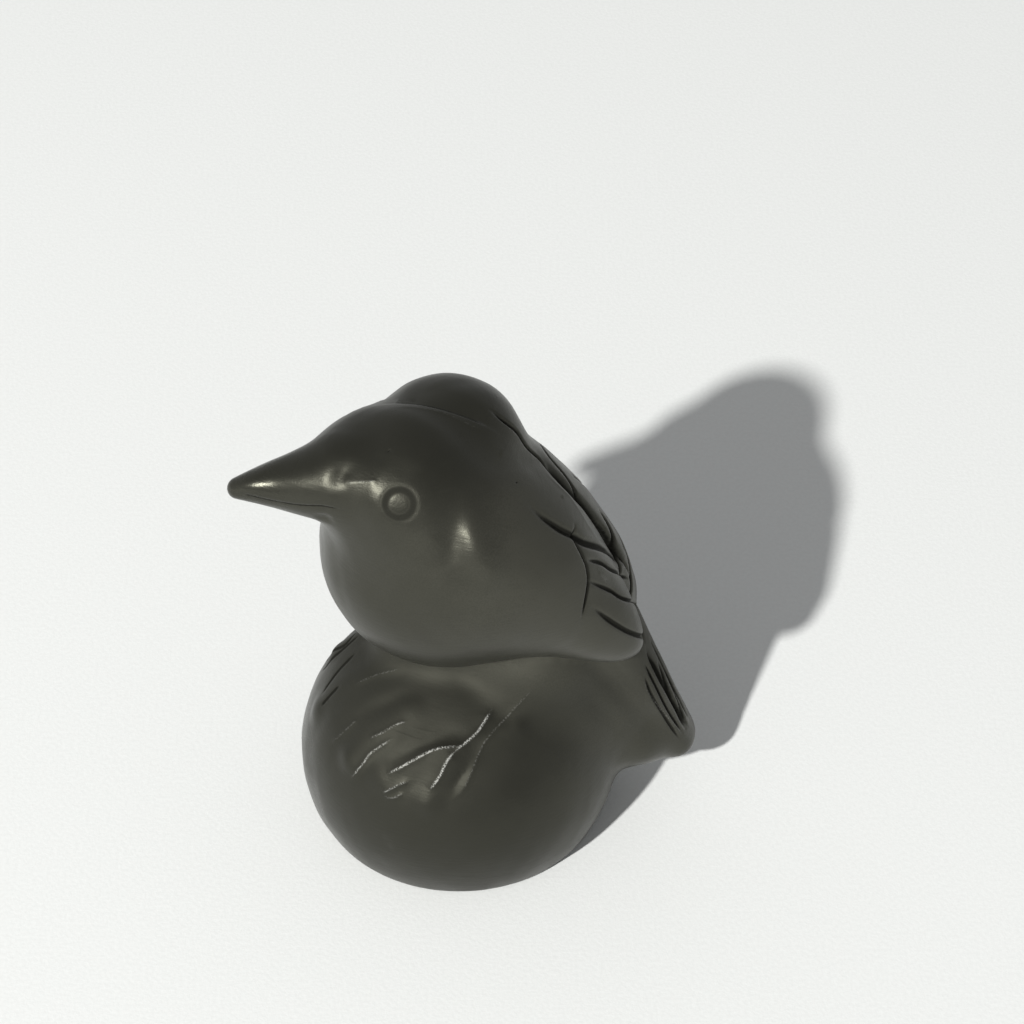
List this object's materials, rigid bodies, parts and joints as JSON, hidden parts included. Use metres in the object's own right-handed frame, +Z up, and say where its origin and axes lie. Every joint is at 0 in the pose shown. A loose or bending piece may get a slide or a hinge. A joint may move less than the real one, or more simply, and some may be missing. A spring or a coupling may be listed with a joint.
{
  "type": "stone raven carving",
  "caption": "Small polished obsidian carving of a hunched raven perched on a rounded rock, with a flat underside to stand on.",
  "frame": {"origin": "centre of the flat underside of the rock", "axes": "+Z up, the beak points along -X, the tail hangs on the +X side, and the bird's left side faces -Y"},
  "size_m": [0.045, 0.031, 0.0513],
  "materials": {
    "obsidian": "polished near-black volcanic glass with a faint olive cast"
  },
  "bodies": {
    "root": {"raven_on_stone": "obsidian"}
  },
  "joints": []
}
